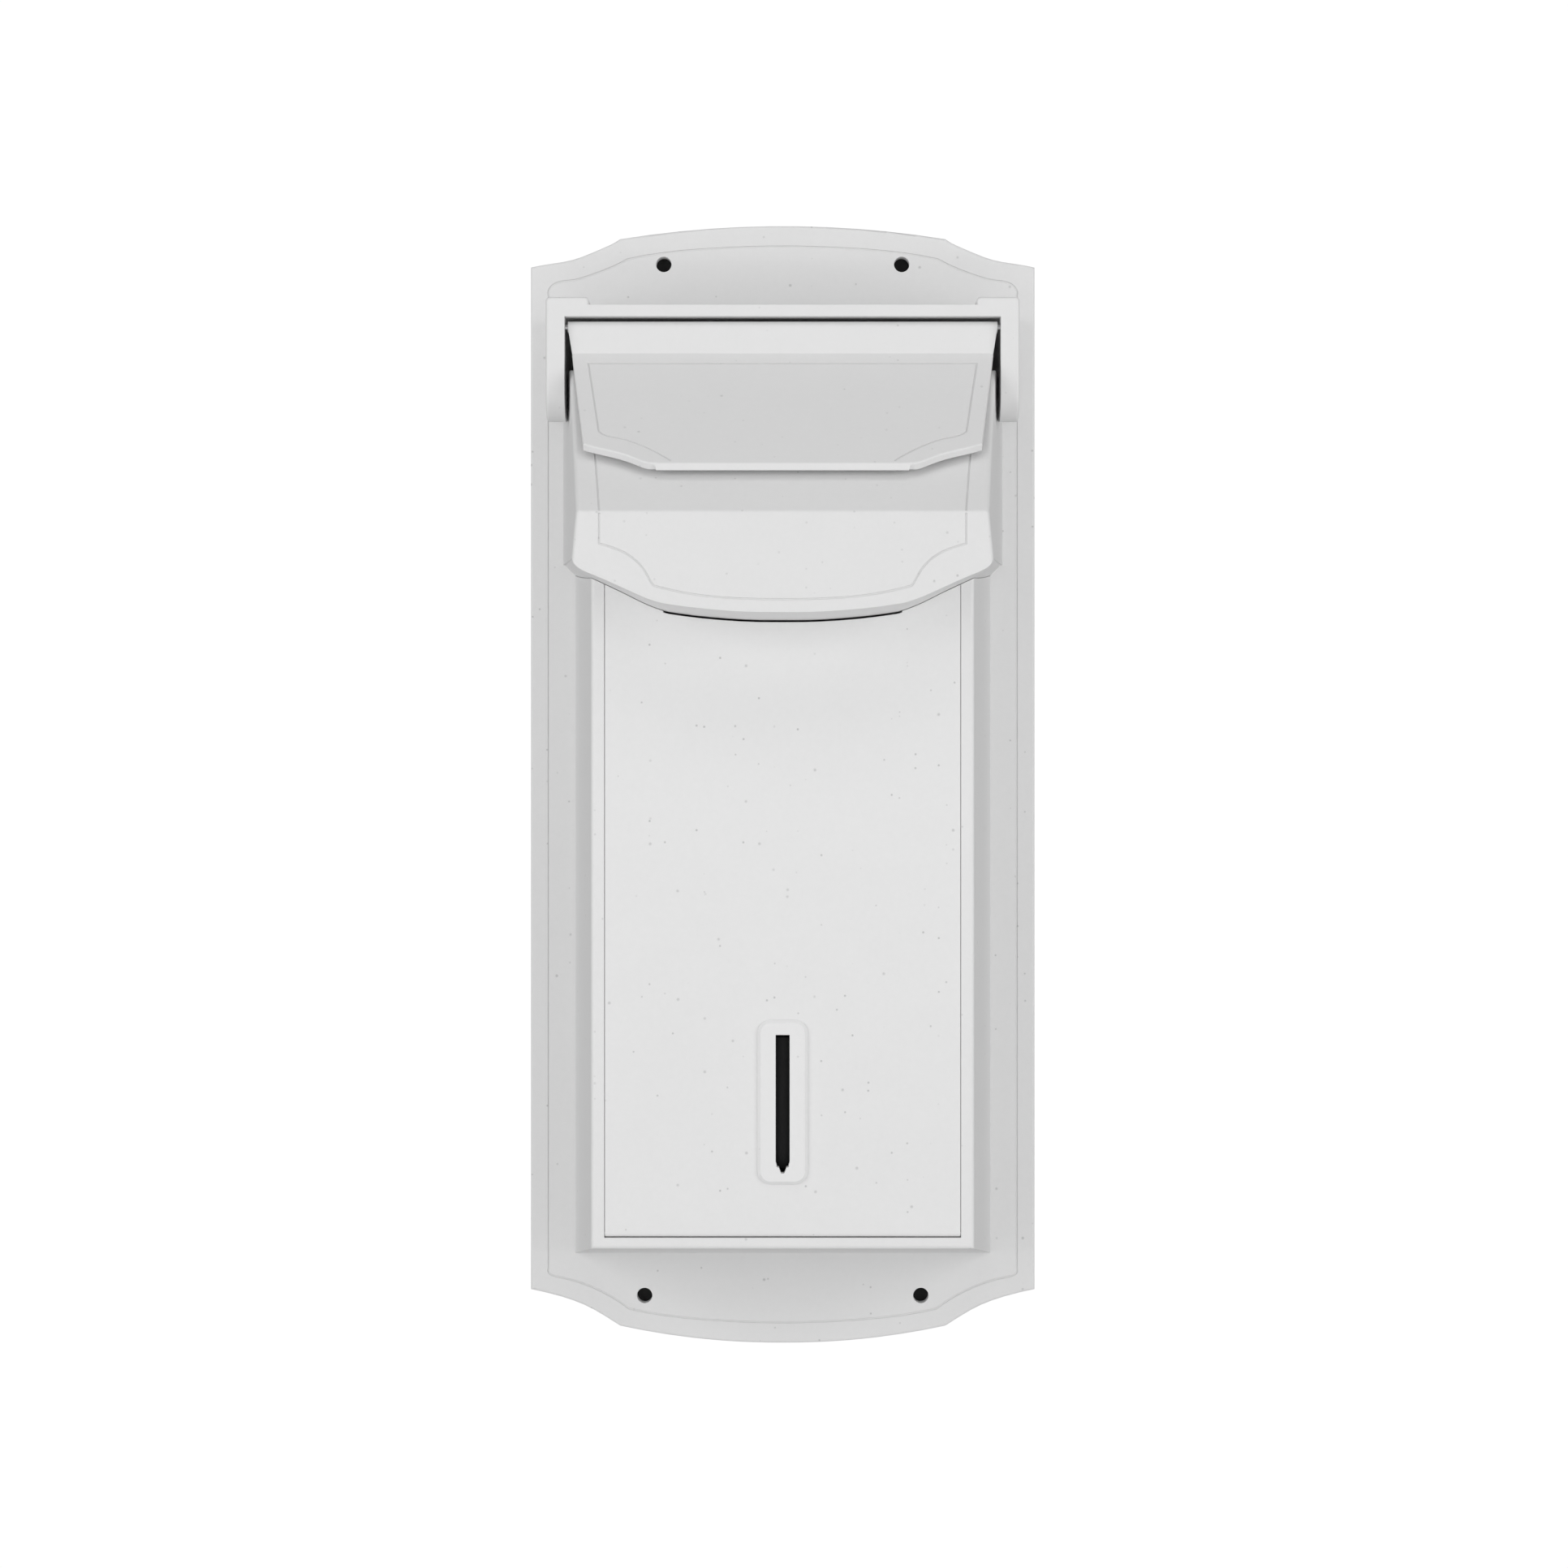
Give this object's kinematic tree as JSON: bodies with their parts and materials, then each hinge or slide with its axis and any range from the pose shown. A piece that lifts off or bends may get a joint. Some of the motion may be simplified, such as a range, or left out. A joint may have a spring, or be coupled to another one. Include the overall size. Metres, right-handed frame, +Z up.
{
  "type": "dog waste bin",
  "caption": "Wall-mounted dog waste bin with ornamental back plate, sloped hood with lifting deposit flap, tilt-out front door and a bag dispensing slot.",
  "frame": {"origin": "centre of the back plate's rear face, on the wall plane, half way up the plate", "axes": "+Z up, +Y into the wall, so the front faces -Y; +X to the right for someone facing the front"},
  "size_m": [0.3608, 0.235, 0.7999],
  "materials": {
    "white_plastic": "satin moulded",
    "grey_plastic": "moulded",
    "zinc_steel": "zinc plated",
    "stainless_steel": "ground",
    "nylon": "natural",
    "rubber": "moulded",
    "catch_plastic": "moulded",
    "bag_film": "rolled film",
    "cardboard": "spiral wound"
  },
  "bodies": {
    "housing": {"back_plate": "white_plastic", "body_shell": "white_plastic", "hood": "white_plastic", "rain_canopy": "white_plastic", "flap_pivot_pins": "stainless_steel", "flap_bumpers": "rubber", "deposit_chute": "grey_plastic", "inner_bin": "grey_plastic", "divider_shelf": "grey_plastic", "shelf_brackets": "zinc_steel", "shelf_bracket_screws": "zinc_steel", "shelf_screws": "zinc_steel", "door_hinge_pins": "stainless_steel", "magnetic_catches": "catch_plastic", "catch_screws": "zinc_steel", "housing_screws": "zinc_steel"},
    "flap": {"deposit_flap": "white_plastic", "flap_bushes": "nylon"},
    "door": {"front_door": "white_plastic", "bag_slot_bezel": "white_plastic", "bezel_screws": "zinc_steel", "dispenser_box": "grey_plastic", "dispenser_screws": "zinc_steel", "roll_spindle": "grey_plastic", "spindle_cap": "grey_plastic", "strike_plates": "zinc_steel", "strike_screws": "zinc_steel"},
    "roll": {"bag_roll": "bag_film", "roll_core": "cardboard"}
  },
  "joints": [
    {"name": "flap_hinge", "type": "hinge", "parent": "housing", "child": "flap", "pos_m": [0, -0.131, 0.3134], "axis": [-1, 0, 0], "range_deg": [0, 70]},
    {"name": "door_hinge", "type": "hinge", "parent": "housing", "child": "door", "pos_m": [0, -0.1775, -0.3021], "axis": [1, 0, 0], "range_deg": [0, 90]},
    {"name": "roll_spin", "type": "hinge", "parent": "door", "child": "roll", "pos_m": [0, -0.136, -0.215], "axis": [0, 0, 1], "continuous": true}
  ]
}
